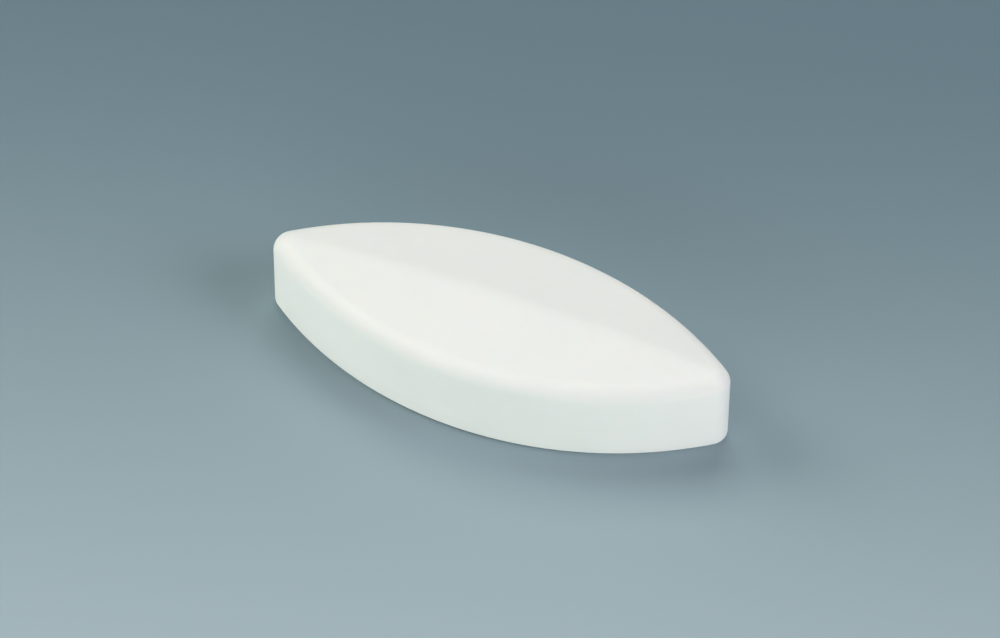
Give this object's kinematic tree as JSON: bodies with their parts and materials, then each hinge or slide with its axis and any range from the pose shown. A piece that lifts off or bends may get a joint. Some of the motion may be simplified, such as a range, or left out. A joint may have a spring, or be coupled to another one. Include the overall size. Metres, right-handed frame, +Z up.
{
  "type": "magnetic stir bar",
  "caption": "Boat-shaped magnetic stir bar: a seamless white jacket with upright sides, rounded tips and a low ridged roof, moulded round a straight bar magnet.",
  "frame": {"origin": "middle of the flat base that the bar rests on", "axes": "+X along the ridge from tip to tip, +Y across the bar, +Z up through the ridge"},
  "size_m": [0.05, 0.0196, 0.0106],
  "materials": {
    "jacket": "satin",
    "magnet": "matte"
  },
  "bodies": {
    "root": {"jacket": "jacket", "magnet_core": "magnet"}
  },
  "joints": []
}
